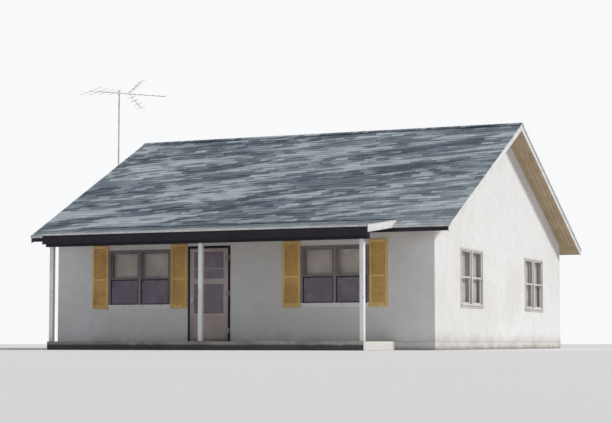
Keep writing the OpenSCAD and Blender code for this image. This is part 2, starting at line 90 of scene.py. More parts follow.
# Linings, shutters, windows and blinds, in metres
LINING_T = 0.012
PORCH_LINING_T = 0.0118
SHUTTER_W = 0.4
SLAT_STEP = 0.0345
BLIND_W = 1.44
BLIND_BOTTOM = 0.945
BLIND_TOP = 2.17
BLIND_IN = 0.123
BLIND_SLAT = 0.025
BLIND_STEP = 0.022
SIDE_WINDOW_X = 2.4
SILL_TOP = 0.9855

# The boom of the aerial: how it is turned, and how far it lies under the mast's top
BOOM_TURN = math.radians(51)
BOOM_DROP = 0.07


# Handling pieces

def only(*pieces):
    """Selects these pieces alone, the last one active."""
    if bpy.context.mode != "OBJECT":
        bpy.ops.object.mode_set(mode="OBJECT")
    bpy.ops.object.select_all(action="DESELECT")
    for piece in pieces:
        piece.select_set(True)
    bpy.context.view_layer.objects.active = pieces[-1]


def settle(piece):
    """Puts a piece's place into its mesh and leaves its object at the origin."""
    only(piece)
    bpy.ops.object.transform_apply(location=True, rotation=True, scale=True)
    return piece


def named(piece, name):
    """Names a piece and its mesh alike."""
    piece.name = name
    piece.data.name = name
    return piece


def block(name, low, high):
    """A block of stock between two corners."""
    low = Vector(low)
    high = Vector(high)
    bpy.ops.mesh.primitive_cube_add(size=1, location=(low + high) / 2, scale=high - low)
    return settle(named(bpy.context.object, name))


def sheet(name, size_x, size_y, columns, rows, middle=(0, 0, 0)):
    """A thin sheet of stock, marked off in columns and rows."""
    bpy.ops.mesh.primitive_grid_add(x_subdivisions=columns, y_subdivisions=rows, size=1)
    stock = named(bpy.context.object, name)
    stock.scale = (size_x, size_y, 1)
    stock.location = middle
    return settle(stock)


def worked(piece, kind, **settings):
    """Adds a modifier with these settings and applies it."""
    only(piece)
    tool = piece.modifiers.new(kind, kind)
    for key, value in settings.items():
        setattr(tool, key, value)
    bpy.ops.object.modifier_apply(modifier=tool.name)
    return piece


def smoothed(piece, degrees=30):
    """Shades a piece smooth wherever its faces meet at less than this angle."""
    only(piece)
    bpy.ops.object.shade_smooth_by_angle(angle=math.radians(degrees))
    return piece


def eased(piece, edge, segments=2):
    """Takes the sharpness off a piece's edges."""
    worked(
        piece, "BEVEL", width=edge, segments=segments, limit_method="ANGLE",
        angle_limit=math.radians(35), use_clamp_overlap=True,
    )
    return smoothed(piece)


def in_a_row(piece, count, step):
    """Repeats a piece in its own mesh, each copy one step on."""
    return worked(
        piece, "ARRAY", count=count, use_relative_offset=False,
        use_constant_offset=True, constant_offset_displace=step,
    )


def joined(name, pieces):
    """Makes one piece of several."""
    only(*pieces)
    if len(pieces) > 1:
        bpy.ops.object.join()
    return named(bpy.context.object, name)


def moved_copy(piece, matrix, name="copy"):
    """A copy with its own mesh, set in its place."""
    only(piece)
    bpy.ops.object.duplicate()
    twin = named(bpy.context.object, name)
    twin.matrix_world = matrix
    return settle(twin)


def set_down(piece, matrix):
    """Moves a piece to its place."""
    piece.matrix_world = matrix
    return settle(piece)


def scrap(piece):
    """Takes away a pattern once its copies are made."""
    only(piece)
    bpy.ops.object.delete()


def pick(piece, wanted, what="FACE"):
    """Opens a piece for editing with only the wanted faces or edges selected."""
    only(piece)
    bpy.ops.object.mode_set(mode="EDIT")
    bpy.ops.mesh.select_mode(type=what)
    bpy.ops.mesh.select_all(action="DESELECT")
    bpy.ops.object.mode_set(mode="OBJECT")
    mesh = piece.data
    if what == "FACE":
        for face in mesh.polygons:
            face.select = bool(wanted(face.center, face.normal))
    else:
        for edge in mesh.edges:
            a, b = (mesh.vertices[i].co for i in edge.vertices)
            edge.select = bool(wanted(a, b))
    bpy.ops.object.mode_set(mode="EDIT")


def everything(piece):
    """Opens a piece for editing with all of it selected."""
    only(piece)
    bpy.ops.object.mode_set(mode="EDIT")
    bpy.ops.mesh.select_mode(type="VERT")
    bpy.ops.mesh.select_all(action="SELECT")


def closed():
    """Ends the editing of a piece."""
    bpy.ops.object.mode_set(mode="OBJECT")


def cut(piece, point, outward):
    """Saws a piece along a plane and drops what lies outside it."""
    everything(piece)
    bpy.ops.mesh.bisect(plane_co=point, plane_no=outward, clear_outer=True, threshold=1e-6)
    bpy.ops.mesh.select_all(action="SELECT")
    bpy.ops.mesh.fill_holes(sides=0)
    closed()


def copy_of(node, name):
    """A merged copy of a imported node, ready to be worked on."""
    piece = bpy.data.objects.new(name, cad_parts[node].data.copy())
    bpy.context.scene.collection.objects.link(piece)
    piece.data.name = name
    everything(piece)
    bpy.ops.mesh.remove_doubles(threshold=1e-5)
    bpy.ops.mesh.dissolve_limited(angle_limit=math.radians(0.5))
    closed()
    return piece


def fitted(piece, body, finish, slot, *nodes):
    """Hangs a finished piece on its body, in its finish, in place of the nodes."""
    piece.data.materials.clear()
    piece.data.materials.append(finish)
    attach(piece, body)
    if nodes:
        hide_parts(*nodes)
    return piece


def eased_copy(node, edge, finish, slot, body="house", segments=2):
    """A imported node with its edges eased, in its place and finish."""
    piece = eased(copy_of(node, node + "_eased"), edge, segments)
    return fitted(piece, body, finish, slot, node)


def smoothed_copy(node, finish, slot, body="house"):
    """A round metal node with its facets shaded smooth."""
    piece = smoothed(copy_of(node, node + "_smooth"), 35)
    return fitted(piece, body, finish, slot, node)


def coated(node, finish):
    """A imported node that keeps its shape, in a better finish."""
    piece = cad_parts[node]
    for place in piece.material_slots:
        place.material = finish
    if not piece.material_slots:
        piece.data.materials.append(finish)


# Finishes

def shade(code):
    """A colour as it is seen on the object, from its hex code."""
    values = [int(code[i:i + 2], 16) / 255 for i in (1, 3, 5)]
    linear = [v / 12.92 if v <= 0.04045 else ((v + 0.055) / 1.055) ** 2.4 for v in values]
    return (*linear, 1.0)


class Wire:
    """A socket that takes part in sums."""

    def __init__(self, finish, socket):
        self.finish = finish
        self.socket = socket

    def sum(self, operation, first, second):
        return self.finish.node("Math", {"operation": operation}, {0: first, 1: second})

    def __add__(self, other):
        return self.sum("ADD", self, other)

    def __radd__(self, other):
        return self.sum("ADD", other, self)

    def __sub__(self, other):
        return self.sum("SUBTRACT", self, other)

    def __rsub__(self, other):
        return self.sum("SUBTRACT", other, self)

    def __mul__(self, other):
        return self.sum("MULTIPLY", self, other)

    def __rmul__(self, other):
        return self.sum("MULTIPLY", other, self)

    def __lt__(self, other):
        return self.sum("LESS_THAN", self, other)

    def __gt__(self, other):
        return self.sum("GREATER_THAN", self, other)


class Finish:
    """A material built up from patterns on the piece's own coordinates."""

    def __init__(self, name, roughness=0.7, metallic=0.0):
        self.material = bpy.data.materials.new(name)
        self.material.use_nodes = True
        self.tree = self.material.node_tree
        self.shader = self.tree.nodes["Principled BSDF"]
        self.shader.inputs["Roughness"].default_value = roughness
        self.shader.inputs["Metallic"].default_value = metallic
        self.where = self.node("TexCoord", {}, {}, out="Object")
        self.x = self.node("SeparateXYZ", {}, {0: self.where})
        axes = self.x.socket.node.outputs
        self.y = Wire(self, axes[1])
        self.z = Wire(self, axes[2])

    def node(self, kind, settings, sockets, out=0):
        """Adds a node of this kind, sets it up, then feeds its sockets."""
        made = self.tree.nodes.new("ShaderNode" + kind)
        for key, value in settings.items():
            if key == "stops":
                self.set_stops(made.color_ramp, value)
            else:
                setattr(made, key, value)
        for key, value in sockets.items():
            self.feed(made.inputs[key], value)
        return Wire(self, made.outputs[out])

    def set_stops(self, ramp, stops):
        """Gives a colour ramp its stops."""
        while len(ramp.elements) < len(stops):
            ramp.elements.new(0.5)
        for element, (position, colour) in zip(ramp.elements, stops):
            element.position = position
            element.color = colour

    def feed(self, socket, value):
        """Links a wire to a socket, or sets the socket to a plain value."""
        if isinstance(value, Wire):
            self.tree.links.new(value.socket, socket)
        else:
            socket.default_value = value

    def set(self, **sockets):
        """Feeds the shader's own sockets, named with _ for a space."""
        for key, value in sockets.items():
            self.feed(self.shader.inputs[key.replace("_", " ")], value)

    def mix(self, share, first, second):
        """The first colour, with this share of the second over it."""
        return self.node(
            "Mix", {"data_type": "RGBA"}, {0: share, 6: first, 7: second}, out=2,
        )

    def mottle(
        self, scale, detail=3.0, roughness=0.55, stretch=(1, 1, 1), twist=0.0, where=None,
    ):
        """A cloudy pattern from 0 to 1."""
        where = where or self.where
        if stretch != (1, 1, 1):
            where = self.node("Mapping", {}, {"Vector": where, "Scale": stretch})
        return self.node(
            "TexNoise", {},
            {"Vector": where, "Scale": scale, "Detail": detail,
             "Roughness": roughness, "Distortion": twist},
        )

    def cells(self, scale):
        """Distance to the nearest of many scattered points."""
        return self.node("TexVoronoi", {}, {"Vector": self.where, "Scale": scale})

    def between(self, value, low, high):
        """0 below low, 1 above high, smooth between them."""
        return self.node(
            "MapRange", {"interpolation_type": "SMOOTHSTEP", "clamp": True},
            {"Value": value, "From Min": low, "From Max": high, "To Min": 0.0, "To Max": 1.0},
        )

    def raised(self, height, depth):
        """Turns a height pattern into relief of that depth in metres."""
        normal = self.node(
            "Bump", {}, {"Strength": 1.0, "Distance": depth, "Height": height},
        )
        self.feed(self.shader.inputs["Normal"], normal)
        return self


def render_coat():
    """Trowelled white render, chalky, with soil splashed up from the ground."""
    f = Finish("white_render", 0.92)
    patches = f.between(f.mottle(0.55, 3), 0.42, 0.66)
    colour = f.mix(patches, shade("#e0e0df"), shade("#d7d6d3"))
    clouds = f.between(f.mottle(5.5, 4), 0.35, 0.75)
    colour = f.mix(clouds * 0.40, colour, shade("#d0cfcd"))
    rain = f.between(f.mottle(2.9, 5, 0.7, stretch=(2.4, 2.4, 0.30), twist=0.5), 0.58, 0.78)
    colour = f.mix(rain * 0.22, colour, shade("#bab8b5"))
    splash = f.between(f.z + f.mottle(2.6, 4) * 0.45, 0.66, 0.26)
    colour = f.mix(splash * 0.55, colour, shade("#a09c98"))
    pits = f.between(f.mottle(38, 2), 0.70, 0.78)
    colour = f.mix(pits * 0.4, colour, shade("#b0ada8"))
    strokes = f.mottle(4.2, 5, 0.6, stretch=(1, 1, 1.6), twist=0.8)
    grain = f.mottle(95, 2)
    f.set(Base_Color=colour, Roughness=0.86 + f.mottle(9) * 0.12)
    return f.raised(strokes * 0.8 + grain * 0.12 - pits * 0.10, 0.011).material


def footing_coat():
    """The render where it runs down over the slab's sides, stained by soil."""
    f = Finish("footing_render", 0.94)
    colour = f.mix(f.between(f.mottle(1.1, 4), 0.36, 0.68), shade("#cbc9c6"), shade("#b7b4b0"))
    damp = f.between(f.z + f.mottle(3.5, 4) * 0.12, 0.17, 0.05)
    colour = f.mix(damp * 0.8, colour, shade("#7b7671"))
    pits = f.between(f.mottle(30, 2), 0.64, 0.74)
    colour = f.mix(pits * 0.5, colour, shade("#6e6861"))
    f.set(Base_Color=colour)
    return f.raised(f.mottle(7, 5) * 0.8 - pits * 0.3, 0.012).material


def shingle_finish():
    """Weathered blue-grey shingles, with tone from tab to tab, painted branch shadows in long
    dark slanting streaks, painted sunlight in paler patches between them, and a painted
    highlight over the porch roof.
    """
    f = Finish("shingles", 0.93)
    # Each tab's tone, part random and part painted branch shade.
    tone = f.node("Attribute", {"attribute_name": "tab_tone"}, {}, out="Fac")
    colour = f.node(
        "ValToRGB", {"stops": [
            (0.0, shade("#45515e")), (0.45, shade("#7a868f")), (1.0, shade("#bcc6cb")),
        ]}, {"Fac": tone},
    )
    grit = f.mottle(420, 2, 0.7)
    colour = f.mix(f.between(grit, 0.35, 0.7) * 0.4, colour, shade("#66717a"))
    lichen = f.between(f.mottle(7.5, 4), 0.66, 0.74)
    colour = f.mix(lichen * 0.35, colour, shade("#8d9384"))
    # Painted shadow: long dark streaks, broad and thin, slant 13 degrees across the courses for
    # the shadows of tree branches. They are strongest on the front slope and fewer over the
    # porch roof and the lower front slope.
    turned = f.node("Mapping", {}, {"Vector": f.where, "Rotation": (0, 0, math.radians(-13))})
    drawn_out = f.node("Mapping", {}, {"Vector": turned, "Scale": (0.085, 1.0, 1.0)})
    branch_shadow_at = f.mottle(4.3, 3.5, 0.54, twist=0.4, where=drawn_out)
    front = f.between(f.y, 0.3, -0.3)
    porch = f.between(f.y, EAVE_Y + 0.25, EAVE_Y - 0.05)
    edge = f.between(f.y, PORCH_Y + 0.40, PORCH_Y + 0.10)
    # The lower front slope, towards the right, gets fewer painted shadows and more painted
    # sunlight.
    sunlit_low_slope = front * f.between(f.x * 0.35 - f.z, -2.5, -1.0)
    branch_shadows = f.between(branch_shadow_at - tone * 0.12, 0.430, 0.525) * (0.35 + front * 0.38)
    branch_shadows = branch_shadows * (1 - porch * 0.55) * (1 - sunlit_low_slope * 0.55)
    fine_branch_shadow_at = f.mottle(9.5, 2.0, 0.5, where=drawn_out)
    colour = f.mix(f.between(fine_branch_shadow_at, 0.50, 0.60) * 0.40, colour, shade("#47535f"))
    colour = f.mix(branch_shadows, colour, shade("#2c3743"))
    # Painted sunlight: paler patches between the painted branch shadows, more of them on the
    # front slope.
    sunlit_at = f.mottle(2.1, 3.0, 0.5, where=drawn_out)
    sunlit_patches = f.between(sunlit_at + tone * 0.12, 0.530, 0.650) * (0.38 + front * 0.17)
    colour = f.mix(sunlit_patches * (1 - branch_shadows) + sunlit_low_slope * 0.15, colour, shade("#d2dbdf"))
    # Painted highlight: the porch roof is paler than the main roof, and palest in a strip along
    # its front edge.
    colour = f.mix(porch * 0.30 + edge * 0.50, colour, shade("#d9dfe1"))
    f.set(Base_Color=colour, Roughness=0.84 + f.mottle(30) * 0.14)
    return f.raised(grit * 0.5 + f.mottle(60, 2) * 0.5, 0.0016).material


def concrete_finish(name, face, grime_and_shade, low_z, shaded_front_y, sunlit_end_x):
    """Worn concrete, dirtiest near the ground, with painted shade darkening its front face and
    painted sunlight paling its ends.
    """
    f = Finish(name, 0.9)
    colour = f.mix(f.between(f.mottle(1.4, 4), 0.35, 0.7), shade(face), shade("#7c7871"))
    stains = f.between(f.mottle(3.7, 3, twist=0.6), 0.56, 0.72)
    colour = f.mix(stains * 0.45, colour, shade("#5f5b55"))
    grime = f.between(f.z + f.mottle(4, 4) * 0.05, low_z + 0.03, low_z - 0.01)
    # Soil grime low down, with painted shade making it much darker along the front face.
    front = f.between(f.y, shaded_front_y + 0.012, shaded_front_y + 0.002)
    colour = f.mix(grime * (0.25 + front * 0.62), colour, shade(grime_and_shade))
    # Painted sunlight: the slab's ends are made pale.
    reach = f.node("Math", {"operation": "ABSOLUTE"}, {0: f.x})
    sunlit_ends = f.between(reach, sunlit_end_x - 0.012, sunlit_end_x - 0.002) * (1 - front)
    colour = f.mix(sunlit_ends * 0.8, colour, shade("#dedbd5"))
    pores = f.between(f.cells(55), 0.0, 0.16)
    f.set(Base_Color=f.mix(1 - pores, colour, shade("#4d4a45")))
    relief = f.mottle(11, 5) * 0.6 + pores * 0.25 + f.mottle(120, 2) * 0.15
    return f.raised(relief, 0.006).material


def paint_finish(
    name, coat, worn, bare, grain=(0.35, 6.0, 6.0), wear=0.5,
    roughness=0.6, gloss=0.5, sill=None,
):
    """Old paint on wood: brushed along the grain, chalky, chipped to what is under it."""
    f = Finish(name, roughness)
    f.set(Specular_IOR_Level=gloss)
    fibre = f.mottle(5.5, 5, 0.62, stretch=grain, twist=0.3)
    colour = f.mix(f.between(f.mottle(1.8, 3), 0.35, 0.72), shade(coat), shade(worn))
    if sill:
        sill_top, sill_coat = sill
        colour = f.mix(f.z < sill_top, colour, shade(sill_coat))
    colour = f.mix(f.between(fibre, 0.5, 0.72) * 0.35, colour, shade(worn))
    chips = f.between(f.mottle(16, 4, stretch=(0.5, 1, 1)) + fibre * 0.35, 0.80, 0.86)
    colour = f.mix(chips * wear, colour, shade(bare))
    f.set(Base_Color=colour, Roughness=roughness + (f.mottle(12) - 0.5) * 0.25 + chips * 0.2)
    return f.raised(fibre * 0.6 - chips * 0.4, 0.0022).material


def metal_finish(name, coat, dull, metallic, roughness):
    """Sheet metal gone dull outdoors."""
    f = Finish(name, roughness, metallic)
    cloud = f.between(f.mottle(6, 4), 0.36, 0.7)
    colour = f.mix(cloud, shade(coat), shade(dull))
    specks = f.between(f.mottle(130, 2), 0.63, 0.72)
    colour = f.mix(specks * 0.35, colour, shade("#5d5852"))
    f.set(Base_Color=colour, Roughness=roughness + cloud * 0.18)
    return f.raised(f.mottle(40, 3) * 0.5 + specks * 0.2, 0.0006).material


def enamel_finish():
    """Baked grey-tan enamel on the storm door, scuffed and chalky."""
    f = Finish("door_enamel", 0.45)
    colour = f.mix(f.between(f.mottle(2.2, 4), 0.35, 0.7), shade("#b9aca6"), shade("#a89b97"))
    scuffs = f.between(f.mottle(7, 5, stretch=(1, 1, 0.3)), 0.60, 0.70)
    colour = f.mix(scuffs * 0.4, colour, shade("#8b7f7c"))
    low = f.between(f.z + f.mottle(6, 3) * 0.2, 0.75, 0.35)
    colour = f.mix(low * 0.45, colour, shade("#7c7074"))
    f.set(Base_Color=colour, Roughness=0.42 + scuffs * 0.3)
    return f.raised(f.mottle(28, 4) * 0.5 + f.mottle(240, 2) * 0.2, 0.0009).material


def glass_finish(name, alpha, body, film):
    """Clear old glass with a little dust and a faint wave."""
    f = Finish(name, 0.03)
    dust = f.between(f.mottle(3.2, 5), 0.45, 0.8)
    f.set(
        Base_Color=f.mix(dust, shade(body), shade(film)),
        Alpha=alpha + dust * 0.10, Roughness=0.02 + dust * 0.10,
    )
    return f.raised(f.mottle(2.4, 1), 0.0012).material


def screen_finish():
    """Fine dark fly mesh, seen as a grey veil."""
    f = Finish("screen_mesh", 0.6)
    weave = f.mottle(260, 1)
    sag = f.between(f.mottle(3.0, 2), 0.35, 0.7)
    f.set(
        Base_Color=f.mix(sag, shade("#83778a"), shade("#958a9b")),
        Alpha=0.46 + weave * 0.08 + sag * 0.05,
    )
    return f.material


def plaster_finish():
    """Flat old plaster on the ceiling."""
    f = Finish("plaster", 0.9)
    colour = f.mix(f.between(f.mottle(1.1, 4), 0.35, 0.7), shade("#cbc4b6"), shade("#b9b1a2"))
    f.set(Base_Color=colour)
    return f.raised(f.mottle(12, 5), 0.003).material


def blind_finish():
    """Pale slats, yellowed here and there."""
    f = Finish("blind_slats", 0.5)
    colour = f.mix(f.between(f.mottle(2.0, 3), 0.35, 0.7), shade("#f0e6df"), shade("#e0d5cc"))
    yellowed = f.between(f.mottle(9, 3, stretch=(0.3, 1, 1)), 0.55, 0.75)
    f.set(Base_Color=f.mix(yellowed * 0.4, colour, shade("#a9a08c")))
    return f.raised(f.mottle(50, 2), 0.0003).material


RENDER = render_coat()
FOOTING = footing_coat()
SHINGLES = shingle_finish()
CONCRETE = concrete_finish(
    "porch_concrete", "#aba69e", "#2a2931", low_z=0.13,
    shaded_front_y=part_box("porch_slab")[0].y, sunlit_end_x=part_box("porch_slab")[1].x,
)
NAVY_COATS = ("#1f1c25", "#28252f", "#57514b")
UPRIGHT_GRAIN = (6.0, 6.0, 0.35)
FRAME_GRAIN = (3.0, 3.0, 1.0)
NAVY = paint_finish("navy_paint", *NAVY_COATS, wear=0.28, gloss=0.22)
PALE = paint_finish("pale_paint", "#e0e0de", "#cfcecc", "#8e877c", wear=0.55)
# Painted light: the posts' pale paint is brighter than the same paint on other parts, standing
# in for their sunlit sides.
PALE_UPRIGHT_SUNLIT = paint_finish(
    "pale_paint_upright_sunlit", "#eff0ee", "#dedddb", "#8e877c", grain=UPRIGHT_GRAIN, wear=0.55,
)
NAVY_UPRIGHT = paint_finish(
    "navy_paint_upright", *NAVY_COATS, grain=UPRIGHT_GRAIN, wear=0.28, gloss=0.22,
)
WINDOW_PAINT = paint_finish(
    "window_paint", "#8a8284", "#797276", "#665f59", grain=FRAME_GRAIN, wear=0.45,
    sill=(SILL_TOP, "#efedeb"),
)
SASH_PAINT = paint_finish(
    "sash_paint", "#857d80", "#736c70", "#5f5954", grain=FRAME_GRAIN, wear=0.45,
)
SIDE_PAINT = paint_finish(
    "side_window_paint", "#cfcdc9", "#bdbab6", "#8b857c", grain=FRAME_GRAIN, wear=0.45,
)
TAN = paint_finish("tan_boards", "#b39e7f", "#9f8a6c", "#7d6c54", wear=0.45, roughness=0.75)
OCHRE = paint_finish(
    "ochre_paint", "#e9c47b", "#d3ab67", "#93805f", grain=(4.0, 4.0, 0.8), wear=0.6,
)
DRIP_METAL = metal_finish("drip_metal", "#e2e2df", "#cbcac7", metallic=0.10, roughness=0.5)
ENAMEL = enamel_finish()
BRIGHT = metal_finish("bright_metal", "#d3d4d5", "#b4b5b6", metallic=0.6, roughness=0.36)
HINGE_METAL = metal_finish("hinge_metal", "#938b89", "#7b7372", metallic=0.5, roughness=0.45)
GLASS = glass_finish("window_glass", alpha=0.07, body="#30363a", film="#6b6b6b")
DOOR_GLASS = glass_finish("door_glass", alpha=0.55, body="#8b7d8d", film="#9a8ea2")
SCREEN = screen_finish()
PLASTER = plaster_finish()
DECK = paint_finish("roof_deck", "#4b4a4a", "#3f3e3f", "#6b6357", wear=0.3, roughness=0.9)
BLINDS = blind_finish()


# Shingles

def tab_stock():
    """One shingle tab, its butt at the front and raised, its head under the next course."""
    length = EXPOSURE + LAP
    tab = sheet(
        "tab", TAB_W - TAB_GAP, length, TAB_COLUMNS, TAB_ROWS, (TAB_W / 2, length / 2, 0),
    )
    lean = Matrix.Rotation(-math.atan2(BUTT_TOP - HEAD_TOP, length), 4, "X")
    set_down(tab, Matrix.Translation((0, 0, BUTT_TOP)) @ lean)
    return worked(tab, "SOLIDIFY", thickness=SHINGLE_T, offset=-1)


def shingle_field(name, half_width, run, seed):
    """Courses of tabs over a slope that starts at y = 0 and rises for run metres."""
    across = math.ceil(2 * half_width / TAB_W) + 3
    pairs = math.ceil(run / (2 * EXPOSURE)) + 1
    row = in_a_row(tab_stock(), across, (TAB_W, 0, 0))
    second = moved_copy(row, Matrix.Translation((-TAB_W / 2, EXPOSURE, 0)))
    field = in_a_row(joined(name, [second, row]), pairs, (0, 2 * EXPOSURE, 0))
    set_down(field, Matrix.Translation((-half_width - TAB_W / 2 - SIDE_SHIFT, 0, 0)))
    weather(field, seed)
    return field


def weather(field, seed):
    """Lets the tabs lie a little unevenly and gives each one its own tone, part random and part
    painted branch shade in slanting bands.
    """
    dice = np.random.default_rng(seed)
    tabs = tabs_of(field)
    count = len(tabs)
    middle = tabs.mean(axis=1)

    def drift(place):
        return np.array([noise.noise(Vector(place(x, y))) for x, y, _ in middle])

    down = 1 - (tabs[:, :, 1] - tabs[:, :, 1].min(axis=1, keepdims=True)) / (EXPOSURE + LAP)
    lift = CURL * dice.random((count, 1)) ** 3
    swell = drift(lambda x, y: (x * 0.35, y * 1.6, seed))
    tabs[:, :, 2] += down * (lift + SWELL * np.abs(swell[:, None]))
    side = (tabs[:, :, 0] - middle[:, :1]) / (TAB_W / 2)
    tabs[:, :, 2] += down * side * TIP * (dice.random((count, 1)) - 0.5)
    tabs[:, :, 1] += side * SKEW * (dice.random((count, 1)) - 0.5)
    tabs[:, :, 1] += SLIP * (dice.random((count, 1)) - 0.5)
    waves = drift(lambda x, y: (x * 0.5, y * 0.5, seed + 3.1))
    tabs[:, :, 2] += WAVE * (waves[:, None] + 0.5)
    field.data.vertices.foreach_set("co", tabs.reshape(-1))
    # Painted shade: slanting bands of darker and lighter tabs lay the branch shadows on tab by
    # tab.
    branch_shade_bands = drift(lambda x, y: (0.45 * x + 0.10 * y, 2.3 * y - 0.5 * x, seed + 7.3))
    tone = np.clip(0.50 + 0.55 * (dice.random(count) - 0.5) + 0.32 * branch_shade_bands, 0, 1)
    mark_tones(field, tone, TAB_VERTS)
    field.data.update()


def mark_tones(field, tone, tab_verts):
    """Writes each tab's tone, with any painted shade in it, on its corners, where the finish
    reads it.
    """
    marks = field.data.attributes.new("tab_tone", "FLOAT", "POINT")
    marks.data.foreach_set("value", np.repeat(tone, tab_verts).astype(np.float32))


def tabs_of(field, tab_verts=TAB_VERTS):
    """The corners of a field, tab by tab."""
    mesh = field.data
    points = np.zeros(len(mesh.vertices) * 3)
    mesh.vertices.foreach_get("co", points)
    return points.reshape(-1, tab_verts, 3)


def drop_tabs(field, gone):
    """Takes whole tabs out of a field."""
    everything(field)
    bpy.ops.mesh.select_all(action="DESELECT")
    closed()
    field.data.vertices.foreach_set("select", np.repeat(gone, TAB_VERTS))
    bpy.ops.object.mode_set(mode="EDIT")
    bpy.ops.mesh.delete(type="VERT")
    closed()


def slope_place(eave_y, eave_z, pitch, turn=0):
    """Where a piece made flat comes to lie on a slope."""
    return (
        Matrix.Rotation(turn, 4, "Z")
        @ Matrix.Translation((0, eave_y, eave_z))
        @ Matrix.Rotation(pitch, 4, "X")
    )


def starter(left, right):
    """The doubled strip under the first course."""
    strip = block("strip", (left, -EDGE_OUT, STARTER_LOW), (right, STARTER_DEPTH, STARTER_TOP))
    return eased(strip, 0.001, 1)


def trim(field, half_width, run):
    """Hangs the first course over the eave and saws the field to its edges."""
    set_down(field, Matrix.Translation((0, -FIELD_DROP, 0)))
    cut(field, (half_width, 0, 0), (1, 0, 0))
    cut(field, (-half_width, 0, 0), (-1, 0, 0))
    cut(field, (0, run, 0), (0, 1, 0))


def dressed_slope(name, turn, seed, porch):
    """One slope of the main roof, left open where the porch roof lands on it."""
    half_width = RAKE_X + EDGE_OUT
    field = shingle_field(name, half_width, SLOPE_LEN, seed)
    if porch:
        clear_porch(field)
    trim(field, half_width, SLOPE_LEN - 0.002)
    if porch:
        edge = PORCH_X + EDGE_OUT
        strips = [starter(-half_width, -edge), starter(edge, half_width)]
    else:
        strips = [starter(-half_width, half_width)]
    piece = joined(name, strips + [field])
    return set_down(piece, slope_place(EAVE_Y, EAVE_Z, PITCH, turn))


def clear_porch(field):
    """Opens the field where the porch roof lands, and laps one course over it."""
    edge = PORCH_X + EDGE_OUT
    landing = (LANDING_Y - EAVE_Y) / math.cos(PITCH) + FIELD_DROP
    lap_rise = 0.014
    lap_run = 0.02
    tabs = tabs_of(field)
    across = np.abs(tabs[:, :, 0])
    centre_x = np.abs(tabs[:, :, 0].mean(axis=1))
    inner_x = across.min(axis=1)
    outer_x = across.max(axis=1)
    head = tabs[:, :, 1].max(axis=1)
    butt = tabs[:, :, 1].min(axis=1)
    low_course = head < landing + lap_run
    gone = (outer_x < edge + 0.03) & low_course
    lapped = ((inner_x < edge) | (centre_x < edge)) & ~low_course & (butt < landing)
    beside = ~gone & ~lapped & (butt < landing) & (outer_x > edge)
    for number in np.nonzero(lapped)[0]:
        tab = tabs[number]
        below = np.maximum(landing - tab[:, 1], 0)
        rise = below * math.tan(PITCH - PORCH_PITCH) + lap_rise * np.minimum(below / lap_run, 1)
        tab[:, 2] += rise * (np.abs(tab[:, 0]) < edge + 0.01)
    for number in np.nonzero(beside)[0]:
        tab = tabs[number]
        side = math.copysign(1, tab[:, 0].mean())
        tab[:, 0] = side * np.maximum(side * tab[:, 0], edge)
    field.data.vertices.foreach_set("co", tabs.reshape(-1))
    drop_tabs(field, gone)


def porch_slope():
    """The shingles of the porch roof, up to where it lands on the main roof."""
    half_width = PORCH_X + EDGE_OUT
    run = (LANDING_Y - PORCH_Y) / math.cos(PORCH_PITCH)
    field = shingle_field("porch_shingles", half_width, run, 23)
    trim(field, half_width, run - 0.01)
    piece = joined("porch_shingles", [starter(-half_width, half_width), field])
    return set_down(piece, slope_place(PORCH_Y, PORCH_Z, PORCH_PITCH))


def ridge_shingles():
    """Bent caps along the ridge, each lapped over the one before."""
    half_width = RAKE_X + EDGE_OUT
    length = 0.30
    reach = 0.15
    overhang = 0.14
    seat = 0.0155
    butt_lift = 0.012
    bend = 0.022
    bend_share = 0.96
    fall_share = 0.985
    count = math.ceil(2 * half_width / EXPOSURE) + 1
    cap = sheet("cap", length, 2 * reach, 2, 8)
    for vertex in cap.data.vertices:
        along = vertex.co.x + length / 2
        out = vertex.co.y
        fall = (math.sqrt(out * out + bend ** 2) - bend) * math.sin(PITCH) * fall_share
        rise = seat + butt_lift * along / length
        vertex.co = (along, out * math.cos(PITCH * bend_share), rise - fall)
    worked(cap, "SOLIDIFY", thickness=0.0045, offset=-1)
    cap_verts = len(cap.data.vertices)
    row = in_a_row(cap, count, (EXPOSURE, 0, 0))
    set_down(row, Matrix.Translation((-half_width - overhang, 0, RIDGE_Z)))
    dice = np.random.default_rng(5)
    tabs = tabs_of(row, cap_verts)
    tabs[:, :, 2] += 0.0015 * dice.random((len(tabs), 1))
    tabs[:, :, 1] += 0.006 * (dice.random((len(tabs), 1)) - 0.5)
    row.data.vertices.foreach_set("co", tabs.reshape(-1))
    mark_tones(row, dice.random(len(tabs)) * 0.8, cap_verts)
    cut(row, (half_width, 0, 0), (1, 0, 0))
    cut(row, (-half_width, 0, 0), (-1, 0, 0))
    return named(row, "ridge_shingles")


def edge_metal(name, length, matrix):
    """A folded drip edge: a flange on the deck and a short face turned down."""
    half = length / 2
    front = -0.013
    back = -0.0114
    foot = -0.036
    skin = 0.0008
    flange = block(name, (-half, front, -skin), (half, 0.05, skin))
    face = block("face", (-half, front, foot), (half, back, skin))
    lip = block("lip", (-half, -0.018, foot), (half, back, foot + 2 * skin))
    return set_down(joined(name, [flange, face, lip]), matrix)


# Boards

def boards(name, length, depth, count, thick):
    """A lining of boards laid side by side, running along X, faces down."""
    width = depth / count
    gap = 0.005
    ease = 0.004
    proud = 0.0015
    board = block(name, (-length / 2, gap / 2, 0), (length / 2, width - gap / 2, thick))
    pick(board, lambda centre, normal: normal.z < -0.9)
    bpy.ops.mesh.inset(thickness=ease, depth=0)
    bpy.ops.transform.translate(value=(0, 0, -proud))
    closed()
    return in_a_row(board, count, (0, width, 0))


